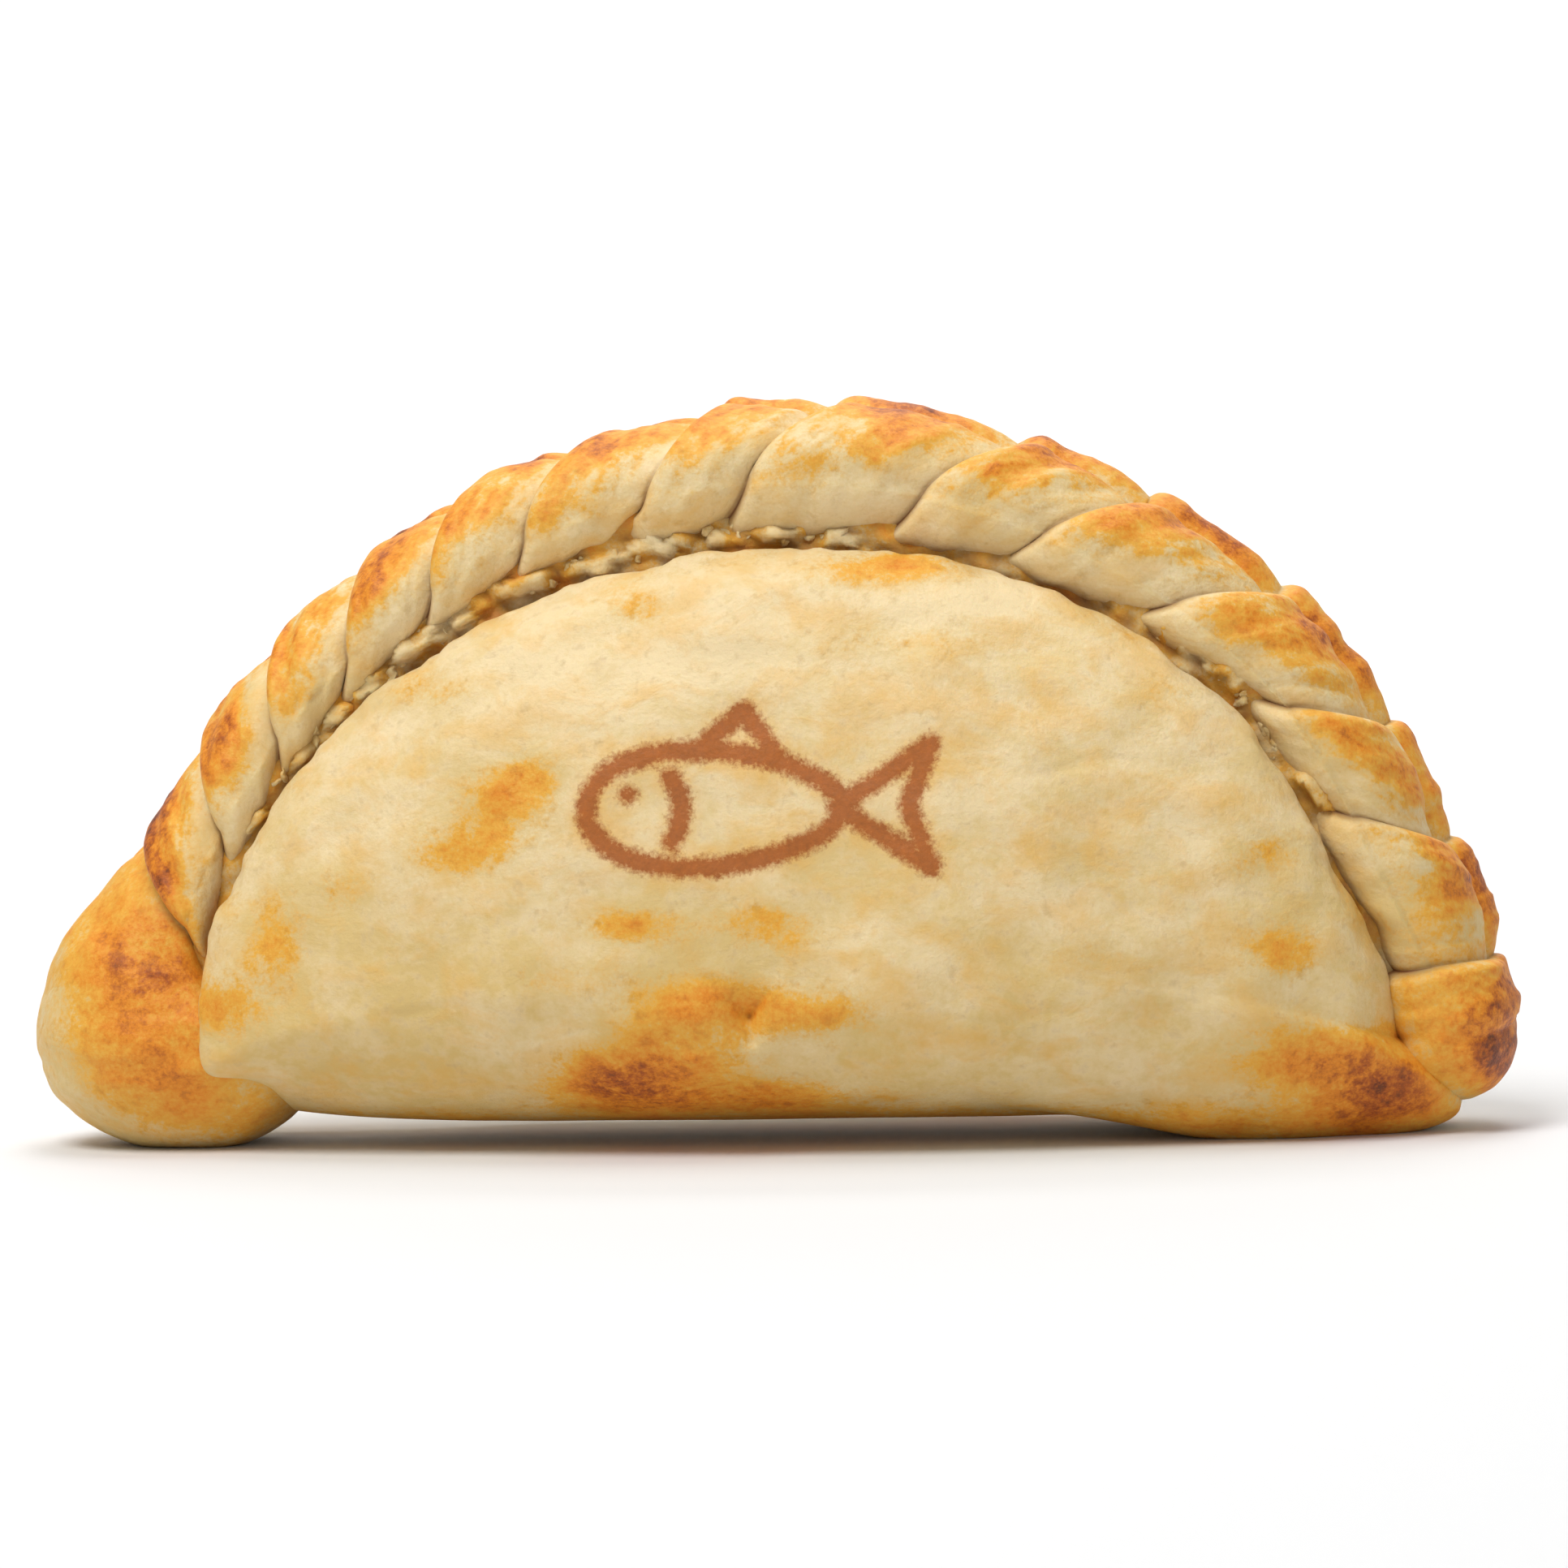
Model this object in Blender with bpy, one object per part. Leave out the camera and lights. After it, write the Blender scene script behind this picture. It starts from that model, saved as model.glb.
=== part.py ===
"""Baked half-moon turnover: a domed pastry pouch, flat on its folded side, with a rope-folded rim."""

import math

import bmesh
import bpy
import numpy as np

MM = 0.001

# The pouch: the filled half-moon, seen from the front along +Y. Heights are above the resting plane.
SEAM_CENTRE_X = 2.3 * MM
SEAM_BASE_Z = 9.0 * MM
SEAM_HALF_WIDTH_LEFT = 53.3 * MM
SEAM_HALF_WIDTH_RIGHT = 51.0 * MM
SEAM_HEIGHT = 43.3 * MM
CROWN_X = 2.0 * MM
CROWN_Z = 15.5 * MM
FRONT_DOME = 21.0 * MM
BACK_DOME = 20.0 * MM
SEAM_HALF_THICKNESS = 8.8 * MM
FOLD_HALF_THICKNESS = 2.5 * MM
SEAM_STEP = 1.3 * MM
SEAM_UNDERCUT = 0.4 * MM
CORNER_SWELL = 4.5 * MM
CORNER_SPREAD = 0.30
CORNER_ANGLE = math.pi + 0.05
FLANGE_REACH = 5.0 * MM
FLANGE_HALF_THICKNESS = 6.2 * MM
FOLD_CLEARANCE = 2.3 * MM
FOLD_CORNER_POWER = 4.0
FOOT_START_X = 24.0 * MM
FOOT_END_X = 46.0 * MM
FOOT_DROP = 4.6 * MM
FOOT_FLARE = 12.0 * MM
FOOT_FLARE_START_X = 40.0 * MM
SEAM_DRAW = 2.2 * MM
SEAM_DRAW_Z = 27.0 * MM
SEAM_DRAW_SPREAD = 11.0 * MM
FOOT_FLARE_SPREAD = 14.0 * MM
DOME_POWER = 2.5
DOME_ROOT = 0.6
POUCH_SPOKES = 72
FRONT_RINGS = 12
BACK_RINGS = 10

# The rope: folds of dough laid one over the next along the rim, ending in a knob at each end.
ROPE_CENTRE_X = 2.3 * MM
ROPE_BASE_Z = 8.5 * MM
ROPE_HALF_WIDTH_LEFT = 56.0 * MM
ROPE_HALF_WIDTH_RIGHT = 56.2 * MM
ROPE_HEIGHT = 49.9 * MM
ROPE_POWER_LEFT = 1.95
ROPE_POWER_RIGHT = 1.8
LEFT_END = (-54.1 * MM, -0.3 * MM)
RIGHT_END = (60.2 * MM, 3.4 * MM)
RIGHT_FLANK_DRAW = 2.6 * MM
RIGHT_FLANK_Z = 24.0 * MM
RIGHT_FLANK_SPREAD = 13.0 * MM
ROPE_RADIUS = 6.2 * MM
LEAST_INNER_RADIUS = 1.2 * MM
LEAST_GAP = 0.2 * MM
TOP_GAP = 1.9 * MM
TOP_GAP_SHARE = 0.40
TOP_GAP_SPREAD = 0.15
FLAP_GAP = 1.2 * MM
FLAP_GAP_SHARE = 0.775
FLAP_GAP_SPREAD = 0.03
INNER_FULLNESS = 0.8
ROPE_HALF_DEPTH = 9.4 * MM
FOLD_WIDTHS = [v * MM for v in (21.5, 9.3, 10.0, 9.6, 9.9, 9.6, 11.7, 9.4, 16.0, 11.5, 13.2, 13.9, 11.5, 15.0, 13.0)]
FOLD_LEAN = 5.8 * MM
CREASE_DEPTH = 1.3 * MM
CREASE_DEPTH_AT_SEAM = 0.5 * MM
FOLD_OVERLAP = 0.7 * MM
LEFT_KNOB_RADIUS = 13.3 * MM
LEFT_KNOB_DEPTH = 11.5 * MM
LEFT_KNOB_LENGTH = 19.0 * MM
RIGHT_KNOB_RADIUS = 5.7 * MM
RIGHT_KNOB_DEPTH = 8.6 * MM
RIGHT_KNOB_LENGTH = 13.0 * MM
CREST_GROOVE_TURN = math.radians(100.0)
CREST_GROOVE_WIDTH = math.radians(11.0)
CREST_GROOVE_DEPTH = 1.0 * MM
BACK_LIP = 1.3 * MM

# Each knob grows out of the rope over a span given as shares of its length, and closes over a rounded end.
LEFT_KNOB_FADE = (0.55, 1.25)
LEFT_KNOB_END = 0.6
LEFT_LEAN_FADE = (0.4, 1.2)
RIGHT_KNOB_FADE = (0.6, 1.3)
RIGHT_KNOB_END = 0.5
RIGHT_LEAN_FADE = (0.3, 2.2)
ROPE_SIDES = 26
ROWS_PER_FOLD = 6

BASE_CUT = 0.5 * MM
CUTTER_SIZE = 200.0 * MM
DOUGH = (0.82, 0.58, 0.29, 1.0)


def ease(value, low, high):
    """0 below low, 1 above high, and a smooth rise between them."""
    share = np.clip((value - low) / (high - low), 0.0, 1.0)
    return share * share * (3.0 - 2.0 * share)


def new_object(name, points, faces):
    mesh = bpy.data.meshes.new(name)
    mesh.from_pydata([tuple(p) for p in points], [], faces)
    mesh.validate()
    mesh.update()
    made = bpy.data.objects.new(name, mesh)
    bpy.context.collection.objects.link(made)
    return made


def grid_faces(rows, columns):
    """Quads between the rows of a grid that closes on itself across its columns."""
    faces = []
    for row in range(rows - 1):
        for column in range(columns):
            after = (column + 1) % columns
            low = row * columns
            high = low + columns
            faces.append((low + column, low + after, high + after, high + column))
    return faces


def capped_faces(rows, columns):
    """The grid with a single point closing each end: the first and the last of the points."""
    faces = [tuple(i + 1 for i in face) for face in grid_faces(rows, columns)]
    last = rows * columns + 1
    start = (rows - 1) * columns + 1
    for column in range(columns):
        after = (column + 1) % columns
        faces.append((0, 1 + after, 1 + column))
        faces.append((last, start + column, start + after))
    return faces


def pouch_outline(angle):
    """The edge of the front of the pouch at an angle: 0 at the right end, a half turn at the left."""
    across = math.cos(angle)
    up = math.sin(angle)
    half_width = SEAM_HALF_WIDTH_RIGHT if across > 0 else SEAM_HALF_WIDTH_LEFT
    if up >= 0:
        z = SEAM_BASE_Z + SEAM_HEIGHT * up
        drawn = SEAM_DRAW * math.exp(-(((z - SEAM_DRAW_Z) / SEAM_DRAW_SPREAD) ** 2)) * ease(across, 0.2, 0.6)
        return SEAM_CENTRE_X + half_width * across - drawn, z
    power = 2.0 / FOLD_CORNER_POWER
    x = SEAM_CENTRE_X + half_width * math.copysign(abs(across) ** power, across)
    drop = abs(up) ** power
    foot = FOLD_CLEARANCE - FOOT_DROP * ease(x, FOOT_START_X, FOOT_END_X)
    flare = FOOT_FLARE * drop * ease(x, FOOT_FLARE_START_X, FOOT_FLARE_START_X + FOOT_FLARE_SPREAD)
    return x + flare, SEAM_BASE_Z - (SEAM_BASE_Z - foot) * drop


def crown_outline(angle):
    """The rounder outline that the pouch's contours take near its crown, measured from the crown."""
    rise = SEAM_BASE_Z + SEAM_HEIGHT - CROWN_Z if math.sin(angle) > 0 else CROWN_Z - FOLD_CLEARANCE
    return SEAM_HALF_WIDTH_RIGHT * math.cos(angle), rise * math.sin(angle)


def pouch_surface(angle, share, dome):
    """Half thickness of the pouch at a share of the way from its crown to its outline."""
    seam = ease(math.sin(angle), -0.5, 0.45)
    edge = FOLD_HALF_THICKNESS + (SEAM_HALF_THICKNESS - FOLD_HALF_THICKNESS) * seam
    edge += CORNER_SWELL * share ** 4 * math.exp(-(((angle - CORNER_ANGLE) / CORNER_SPREAD) ** 2))
    return edge + (dome - edge) * max(0.0, 1.0 - share ** DOME_POWER) ** DOME_ROOT


def ring_share(step, count):
    """Rings closer together towards the outline, where the pouch rounds over."""
    return math.sin(0.5 * math.pi * step / count)


def make_pouch():
    angles = [2.0 * math.pi * i / POUCH_SPOKES for i in range(POUCH_SPOKES)]
    rings = []
    for step in range(1, FRONT_RINGS + 1):
        rings.append(("front", ring_share(step, FRONT_RINGS)))
    rings.append(("front step", 1.0))
    rings.append(("front flange", 1.0))
    rings.append(("back flange", 1.0))
    rings.append(("back step", 1.0))
    for step in range(BACK_RINGS, 0, -1):
        rings.append(("back", ring_share(step, BACK_RINGS)))
    points = [(CROWN_X, -FRONT_DOME, CROWN_Z)]
    for kind, share in rings:
        for angle in angles:
            edge_x, edge_z = pouch_outline(angle)
            seam = float(ease(math.sin(angle), -0.05, 0.3))
            round_x, round_z = crown_outline(angle)
            square = share ** 3
            x = CROWN_X + share * (round_x + (edge_x - CROWN_X - round_x) * square)
            z = CROWN_Z + share * (round_z + (edge_z - CROWN_Z - round_z) * square)
            side = -1.0 if kind.startswith("front") else 1.0
            depth = pouch_surface(angle, share, FRONT_DOME if side < 0 else BACK_DOME)
            if kind.endswith("step"):
                depth = 0.7 * depth + (0.3 * depth - SEAM_STEP) * seam
                inward = SEAM_UNDERCUT * seam
            elif kind.endswith("flange"):
                depth = 0.3 * depth + (FLANGE_HALF_THICKNESS - 0.3 * depth) * seam
                inward = -FLANGE_REACH * seam
            else:
                inward = 0.0
            length = math.hypot(edge_x - CROWN_X, edge_z - CROWN_Z)
            x -= inward * (edge_x - CROWN_X) / length
            z -= inward * (edge_z - CROWN_Z) / length
            points.append((x, side * depth, z))
    points.append((CROWN_X, BACK_DOME, CROWN_Z))
    return new_object("pouch", points, capped_faces(len(rings), POUCH_SPOKES))


def rope_path():
    """Points along the rope's centre from the left end over the top, and the length to each."""
    turn = np.linspace(math.pi, 0.0, 721)
    across = np.cos(turn)
    power = np.where(across < 0, 2.0 / ROPE_POWER_LEFT, 2.0 / ROPE_POWER_RIGHT)
    half_width = np.where(across < 0, ROPE_HALF_WIDTH_LEFT, ROPE_HALF_WIDTH_RIGHT)
    x = ROPE_CENTRE_X + half_width * np.sign(across) * np.abs(across) ** power
    z = ROPE_BASE_Z + ROPE_HEIGHT * np.abs(np.sin(turn)) ** power
    drawn = RIGHT_FLANK_DRAW * np.exp(-(((z - RIGHT_FLANK_Z) / RIGHT_FLANK_SPREAD) ** 2))
    x = x - drawn * ease(across, 0.2, 0.6)
    x = np.concatenate(([LEFT_END[0]], x, [RIGHT_END[0]]))
    z = np.concatenate(([LEFT_END[1]], z, [RIGHT_END[1]]))
    lengths = np.concatenate(([0.0], np.cumsum(np.hypot(np.diff(x), np.diff(z)))))
    return x, z, lengths


def fold_starts(total):
    """The lengths along the rope where each fold begins, and where the last one ends."""
    edges = np.concatenate(([0.0], np.cumsum(FOLD_WIDTHS)))
    return edges * total / edges[-1]


def seam_gap(share):
    """How far outside the seam the folds end, along the rim: widest over the top and where the right flap is torn."""
    top = TOP_GAP * math.exp(-(((share - TOP_GAP_SHARE) / TOP_GAP_SPREAD) ** 2))
    flap = FLAP_GAP * math.exp(-(((share - FLAP_GAP_SHARE) / FLAP_GAP_SPREAD) ** 2))
    return LEAST_GAP + top + flap


def knob_fade(distance, length, shares):
    """0 within a knob and 1 out on the rope, with a smooth change over the given shares of the knob's length."""
    return ease(distance, shares[0] * length, shares[1] * length)


def fold_swell(share):
    """Height of a fold across its width: up at once from its first edge, then sinking to the next."""
    return 1.0 - abs(2.0 * share ** 0.75 - 1.0) ** 3.2


def back_lip(turn, share):
    """The back edge of the dough, which stands beyond the folds behind a groove along the rim's crest."""
    gap = (turn - CREST_GROOVE_TURN) / CREST_GROOVE_WIDTH
    groove = CREST_GROOVE_DEPTH * math.exp(-gap * gap)
    lip = ease(turn, CREST_GROOVE_TURN, CREST_GROOVE_TURN + 0.5) * (1.0 - ease(turn, 2.6, 3.3))
    return BACK_LIP * lip * (0.75 + 0.25 * math.cos(2.0 * math.pi * share)) - groove


def make_rope():
    path_x, path_z, lengths = rope_path()
    total = lengths[-1]
    starts = fold_starts(total)
    seam = np.array([pouch_outline(angle) for angle in np.linspace(0.0, math.pi, 181)])
    to_seam = np.hypot(path_x[:, None] - seam[:, 0], path_z[:, None] - seam[:, 1]).min(axis=1)
    rows = []
    for fold in range(len(FOLD_WIDTHS)):
        count = ROWS_PER_FOLD + (6 if fold in (0, len(FOLD_WIDTHS) - 1) else 0)
        for step in range(count):
            share = step / count
            rows.append((fold, share, starts[fold] + (starts[fold + 1] - starts[fold]) * share))
    rows = rows[1:]
    points = [(path_x[0], 0.0, path_z[0])]
    for fold, share, along in rows:
        from_end = total - along
        left = 1.0 - knob_fade(along, LEFT_KNOB_LENGTH, LEFT_KNOB_FADE)
        right = 1.0 - knob_fade(from_end, RIGHT_KNOB_LENGTH, RIGHT_KNOB_FADE)
        out = ROPE_RADIUS + (LEFT_KNOB_RADIUS - ROPE_RADIUS) * left + (RIGHT_KNOB_RADIUS - ROPE_RADIUS) * right
        deep = ROPE_HALF_DEPTH + (LEFT_KNOB_DEPTH - ROPE_HALF_DEPTH) * left + (RIGHT_KNOB_DEPTH - ROPE_HALF_DEPTH) * right
        cap = math.sqrt(1.0 - (1.0 - min(1.0, along / (LEFT_KNOB_END * LEFT_KNOB_LENGTH))) ** 2)
        cap *= math.sqrt(1.0 - (1.0 - min(1.0, from_end / (RIGHT_KNOB_END * RIGHT_KNOB_LENGTH))) ** 2)
        swell = fold_swell(share)
        if fold == 0:
            swell = max(swell, 1.0 - ease(share, 0.6, 1.0))
        if fold == len(FOLD_WIDTHS) - 1:
            swell = max(swell, ease(share, 0.0, 0.35))
        lean = FOLD_LEAN * knob_fade(along, LEFT_KNOB_LENGTH, LEFT_LEAN_FADE)
        lean *= knob_fade(from_end, RIGHT_KNOB_LENGTH, RIGHT_LEAN_FADE)
        for side in range(ROPE_SIDES):
            turn = 2.0 * math.pi * side / ROPE_SIDES
            inner = 0.5 - 0.5 * math.sin(turn)
            crease = (CREASE_DEPTH + CREASE_DEPTH_AT_SEAM * inner) * (1.0 - swell)
            tilt = FOLD_OVERLAP * (0.5 - share) * swell + back_lip(turn, share) * (1.0 - left) * (1.0 - right)
            here = along + lean * (math.sin(turn) - 0.18 * math.sin(2.0 * turn))
            here = min(max(here, 0.02 * MM), total - 0.02 * MM)
            x = np.interp(here, lengths, path_x)
            z = np.interp(here, lengths, path_z)
            before = max(here - 1.0 * MM, 0.0)
            beyond = min(here + 1.0 * MM, total)
            run_x = np.interp(beyond, lengths, path_x) - np.interp(before, lengths, path_x)
            run_z = np.interp(beyond, lengths, path_z) - np.interp(before, lengths, path_z)
            run = math.hypot(run_x, run_z)
            tucked = (np.interp(here, lengths, to_seam) - seam_gap(along / total)) / INNER_FULLNESS
            tucked = min(max(tucked, LEAST_INNER_RADIUS), ROPE_RADIUS)
            if math.sin(turn) < 0.0:
                reach = (tucked - out + 0.5 * (crease - tilt)) * (1.0 - left) * (1.0 - right)
            else:
                reach = 0.0
            square = 2.0 / (2.0 + 0.7 * inner)
            sine = math.copysign(abs(math.sin(turn)) ** square, math.sin(turn))
            cosine = math.copysign(abs(math.cos(turn)) ** square, math.cos(turn))
            outward = cap * (out + reach - crease + tilt) * sine
            forward = cap * (deep - crease + tilt) * cosine
            points.append((x - outward * run_z / run, -forward, z + outward * run_x / run))
    points.append((path_x[-1], 0.0, path_z[-1]))
    return new_object("rope", points, capped_faces(len(rows), ROPE_SIDES))


def make_cutter():
    """A block whose top is the plane the turnover settled on in the oven."""
    half = 0.5 * CUTTER_SIZE
    points = []
    for z in (BASE_CUT - CUTTER_SIZE, BASE_CUT):
        points += [(-half, -half, z), (half, -half, z), (half, half, z), (-half, half, z)]
    faces = [(0, 3, 2, 1), (4, 5, 6, 7), (0, 1, 5, 4), (1, 2, 6, 5), (2, 3, 7, 6), (3, 0, 4, 7)]
    made = new_object("resting_plane", points, faces)
    made.hide_render = True
    made.display_type = "WIRE"
    return made


def face_outwards(made):
    body = bmesh.new()
    body.from_mesh(made.data)
    bmesh.ops.recalc_face_normals(body, faces=body.faces)
    body.to_mesh(made.data)
    body.free()


def combine(target, tool, operation):
    step = target.modifiers.new(operation.lower(), "BOOLEAN")
    step.operation = operation
    step.solver = "EXACT"
    step.object = tool
    bpy.context.view_layer.update()
    view = bpy.context.evaluated_depsgraph_get()
    made = bpy.data.meshes.new_from_object(target.evaluated_get(view))
    target.modifiers.clear()
    target.data = made
    bpy.data.objects.remove(tool)


def settle(made):
    """Centres the turnover over the origin and stands it on the resting plane."""
    points = np.array([v.co for v in made.data.vertices])
    low = points.min(axis=0)
    high = points.max(axis=0)
    shift = np.array([0.5 * (low[0] + high[0]), 0.5 * (low[1] + high[1]), low[2]])
    for vertex in made.data.vertices:
        vertex.co = [vertex.co[i] - shift[i] for i in range(3)]


def dough_material():
    made = bpy.data.materials.new("baked_dough")
    made.use_nodes = True
    shader = made.node_tree.nodes["Principled BSDF"]
    shader.inputs["Base Color"].default_value = DOUGH
    shader.inputs["Roughness"].default_value = 0.6
    return made


def main():
    for old in list(bpy.data.objects):
        bpy.data.objects.remove(old)
    pouch = make_pouch()
    rope = make_rope()
    cutter = make_cutter()
    for made in (pouch, rope, cutter):
        face_outwards(made)
    combine(pouch, rope, "UNION")
    combine(pouch, cutter, "DIFFERENCE")
    settle(pouch)
    pouch.name = "empanada"
    pouch.data.name = "empanada"
    pouch.data.materials.clear()
    pouch.data.materials.append(dough_material())
    for face in pouch.data.polygons:
        face.use_smooth = True


main()
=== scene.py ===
"""Looks of a baked half-moon turnover: domed pouch, rope-folded rim and torn crumbs along its seam."""

import math

import bmesh
import bpy
import numpy as np
from bpy.props import FloatProperty, FloatVectorProperty, IntProperty, PointerProperty
from mathutils import Matrix, Vector


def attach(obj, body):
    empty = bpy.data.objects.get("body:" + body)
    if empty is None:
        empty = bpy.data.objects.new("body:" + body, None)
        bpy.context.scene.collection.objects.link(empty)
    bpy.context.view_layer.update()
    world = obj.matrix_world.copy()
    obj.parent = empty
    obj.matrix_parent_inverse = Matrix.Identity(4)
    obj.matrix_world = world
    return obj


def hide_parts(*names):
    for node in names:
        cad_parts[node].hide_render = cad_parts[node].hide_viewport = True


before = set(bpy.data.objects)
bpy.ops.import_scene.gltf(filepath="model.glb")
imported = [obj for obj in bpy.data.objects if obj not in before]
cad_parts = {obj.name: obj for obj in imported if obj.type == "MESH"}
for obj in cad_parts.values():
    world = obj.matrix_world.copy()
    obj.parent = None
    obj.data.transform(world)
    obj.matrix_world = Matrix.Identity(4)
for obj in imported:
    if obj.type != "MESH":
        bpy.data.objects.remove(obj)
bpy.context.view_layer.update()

bl_info = {
    "name": "Baked Turnover",
    "version": (1, 0, 0),
    "blender": (4, 5, 0),
    "location": "View3D > Sidebar > Turnover",
    "description": "Makes the dough, rope rim, crumbs and stage of a baked half-moon turnover",
    "category": "Object",
}

NODE = "empanada"
MM = 0.001

# How far the raw shapes are moved so that they stand on the ground, centred.
SETTLE = np.array((1.7295, 0.5, -0.5)) * MM

# The knob that ends the rope on each side: its length, half width and half depth.
LEFT_KNOB_LENGTH = 19.0 * MM
LEFT_KNOB_RADIUS = 13.3 * MM
LEFT_KNOB_DEPTH = 11.5 * MM
RIGHT_KNOB_LENGTH = 13.0 * MM
RIGHT_KNOB_RADIUS = 5.7 * MM
RIGHT_KNOB_DEPTH = 8.6 * MM

# Widths of the folds, from the left knob to the right one.
FOLD_WIDTHS = np.array((21.5, 9.3, 10.0, 9.6, 9.9, 9.6, 11.7, 9.4, 16.0, 11.5, 13.2, 13.9, 11.5, 15.0,
        13.0)) * MM

# Patches toasted in the oven on the front of the pouch:
# x, z, half width and half height in millimetres, then strength.
TOASTED_PATCHES = (
    (-20.6, 30.9, 4.2, 3.4, 0.34), (-24.8, 26.8, 4.0, 2.0, 0.34), (-17.9, 33.0, 2.6, 1.8, 0.26),
    (-9.4, 20.4, 4.6, 1.7, 0.30), (2.0, 20.0, 5.0, 2.2, 0.26), (45.4, 17.0, 3.2, 2.6, 0.34),
    (43.8, 25.0, 3.6, 2.0, 0.22), (11.0, 50.0, 6.0, 1.5, 0.30), (-9.6, 47.2, 3.0, 1.8, 0.22),
    (-41.2, 19.0, 3.2, 4.2, 0.27), (-46.0, 13.2, 4.0, 2.8, 0.36), (-35.0, 23.5, 4.0, 2.4, 0.16),
    (-4.0, 13.4, 6.2, 2.6, 0.36), (6.0, 12.6, 5.2, 2.4, 0.34), (-6.6, 9.0, 6.0, 2.6, 0.40),
    (-12.0, 6.4, 5.5, 2.6, 0.52), (-2.0, 5.0, 12.0, 1.8, 0.46), (53.5, 5.2, 5.4, 3.6, 0.66),
    (46.5, 7.6, 6.0, 3.2, 0.36), (30.0, 17.0, 9.0, 2.0, 0.10), (-16.0, 16.0, 8.0, 2.0, 0.12),
    (14.0, 44.0, 10.0, 2.4, 0.12), (-27.0, 40.0, 5.0, 2.0, 0.16), (36.0, 39.0, 5.0, 1.6, 0.12),
)

# Shreds of dough torn up along the front seam:
# angle round the pouch, then reach, half length and half width in millimetres.
TORN_SHREDS = (
    (2.50, 0.9, 1.6, 0.7), (2.41, 1.2, 1.5, 0.8), (2.33, 1.4, 1.7, 0.9), (2.23, 1.6, 2.2, 1.0), (2.12, 1.6,
            2.4, 1.1),
    (2.01, 1.6, 3.2, 1.0), (1.90, 1.2, 2.4, 0.8), (1.78, 1.4, 2.4, 1.0), (1.69, 1.0, 1.6, 0.7), (1.60, 1.2,
            2.2, 0.9),
    (1.50, 0.9, 1.8, 0.7), (0.90, 1.9, 2.6, 1.2), (0.80, 2.4, 2.6, 1.5), (0.66, 2.0, 1.8, 0.9), (0.50, 1.9,
            2.2, 0.8),
    (0.36, 1.7, 2.0, 0.7), (2.66, 0.8, 1.5, 0.5),
)

# Browning of the front of the rope: share along it, turn round it in degrees, reach of each, strength.
TOASTED_FOLDS = (
    (0.080, 14.0, 0.032, 34.0, 0.38), (0.064, -26.0, 0.020, 24.0, 0.24), (0.040, 4.0, 0.020, 26.0, 0.34),
    (0.104, -6.0, 0.020, 34.0, 0.26), (0.022, -44.0, 0.016, 30.0, 0.28),
    (0.990, 60.0, 0.022, 70.0, 0.34), (0.955, 10.0, 0.040, 90.0, 0.22), (0.130, 60.0, 0.020, 50.0, 0.24),
)


def srgb(colour):
    """A display colour as the linear light that a shader reads."""
    return tuple(c / 12.92 if c <= 0.04045 else ((c + 0.055) / 1.055) ** 2.4 for c in colour[:3]) + (1.0,)


def ease(value, low, high):
    """0 below low, 1 above high, and a smooth rise between them."""
    share = np.clip((value - low) / (high - low), 0.0, 1.0)
    return share * share * (3.0 - 2.0 * share)


def ripple(points, size, seed, waves=14):
    """A soft random field about as high as 1, whose bumps are about as wide as size."""
    random = np.random.default_rng(seed)
    ways = random.normal(size=(waves, 3))
    ways /= np.linalg.norm(ways, axis=1)[:, None]
    spread = random.uniform(0.7, 1.4, waves)
    phase = random.uniform(0.0, 2.0 * math.pi, waves)
    turns = points @ (ways * (spread * math.pi / size)[:, None]).T + phase
    return np.sin(turns).sum(axis=1) * math.sqrt(2.0 / waves) * 0.7


def bump_at(x, z, at_x, at_z, half_x, half_z):
    return np.exp(-(((x - at_x * MM) / (half_x * MM)) ** 2) - ((z - at_z * MM) / (half_z * MM)) ** 2)


def capped_grid(rows, columns):
    """Faces of a grid closed across its columns, with one point closing each end."""
    row, column = np.meshgrid(np.arange(rows - 1), np.arange(columns), indexing="ij")
    after = (column + 1) % columns
    low = 1 + row * columns
    high = low + columns
    quads = np.stack([low + column, low + after, high + after, high + column], axis=-1).reshape(-1, 4)
    around = np.arange(columns)
    beyond = (around + 1) % columns
    last = rows * columns + 1
    start = last - columns
    first_cap = np.stack([np.zeros_like(around), 1 + beyond, 1 + around], axis=-1)
    last_cap = np.stack([np.full_like(around, last), start + around, start + beyond], axis=-1)
    return quads.tolist() + first_cap.tolist() + last_cap.tolist()


def new_piece(name, points, faces, attributes, material):
    """A smooth closed mesh with its point attributes, standing in for the solid."""
    mesh = bpy.data.meshes.new(name)
    mesh.from_pydata(points.tolist(), [], faces)
    mesh.update()
    for label, values in attributes.items():
        layer = mesh.attributes.new(label, "FLOAT", "POINT")
        layer.data.foreach_set("value", np.ascontiguousarray(values, dtype=np.float32))
    body = bmesh.new()
    body.from_mesh(mesh)
    bmesh.ops.remove_doubles(body, verts=body.verts, dist=2e-6)
    bmesh.ops.recalc_face_normals(body, faces=body.faces)
    body.to_mesh(mesh)
    body.free()
    mesh.polygons.foreach_set("use_smooth", [True] * len(mesh.polygons))
    piece = bpy.data.objects.new(name, mesh)
    bpy.context.collection.objects.link(piece)
    mesh.materials.append(material)
    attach(piece, "root")
    return piece


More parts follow.
